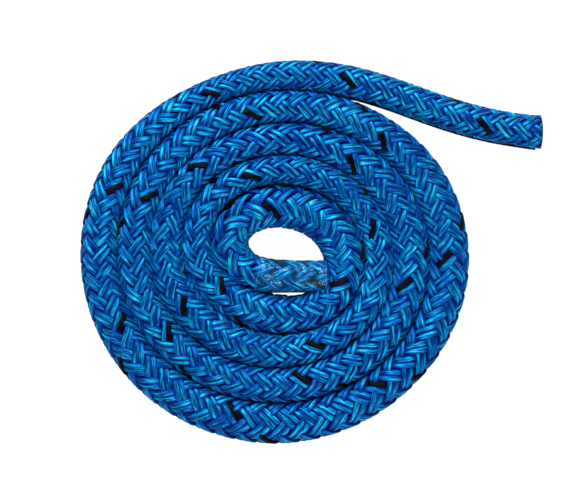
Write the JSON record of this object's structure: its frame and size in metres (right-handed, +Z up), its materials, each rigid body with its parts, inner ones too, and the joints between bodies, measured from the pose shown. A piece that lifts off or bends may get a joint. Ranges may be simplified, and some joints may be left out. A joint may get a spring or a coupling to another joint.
{
  "type": "dynamic climbing rope",
  "caption": "Blue braided climbing rope with a black tracer yarn, wound into a flat spiral coil with its taped inner end across the eye and its tail running off straight.",
  "frame": {"origin": "centre of the whole rope's outline in plan, on the surface that the coil lies on", "axes": "+Z up out of the surface, +X along the longest extent towards the free tail"},
  "size_m": [0.1542, 0.1266, 0.0116],
  "materials": {
    "cover_yarn": "braided polyamide filament yarn, soft sheen",
    "tracer_yarn": "black filament yarn",
    "core_yarn": "undyed twisted filament yarn, matte",
    "clear_tape": "clear glossy adhesive tape",
    "melted_end": "melted yarn, smooth and hard"
  },
  "bodies": {
    "root": {"braided_cover": "cover_yarn", "core_strand_1": "core_yarn", "core_strand_2": "core_yarn", "core_strand_3": "core_yarn", "core_strand_4": "core_yarn", "core_strand_5": "core_yarn", "core_strand_6": "core_yarn", "core_strand_7": "core_yarn", "clear_tape_wrap": "clear_tape", "inner_end_seal": "melted_end", "outer_end_seal": "melted_end"}
  },
  "joints": []
}
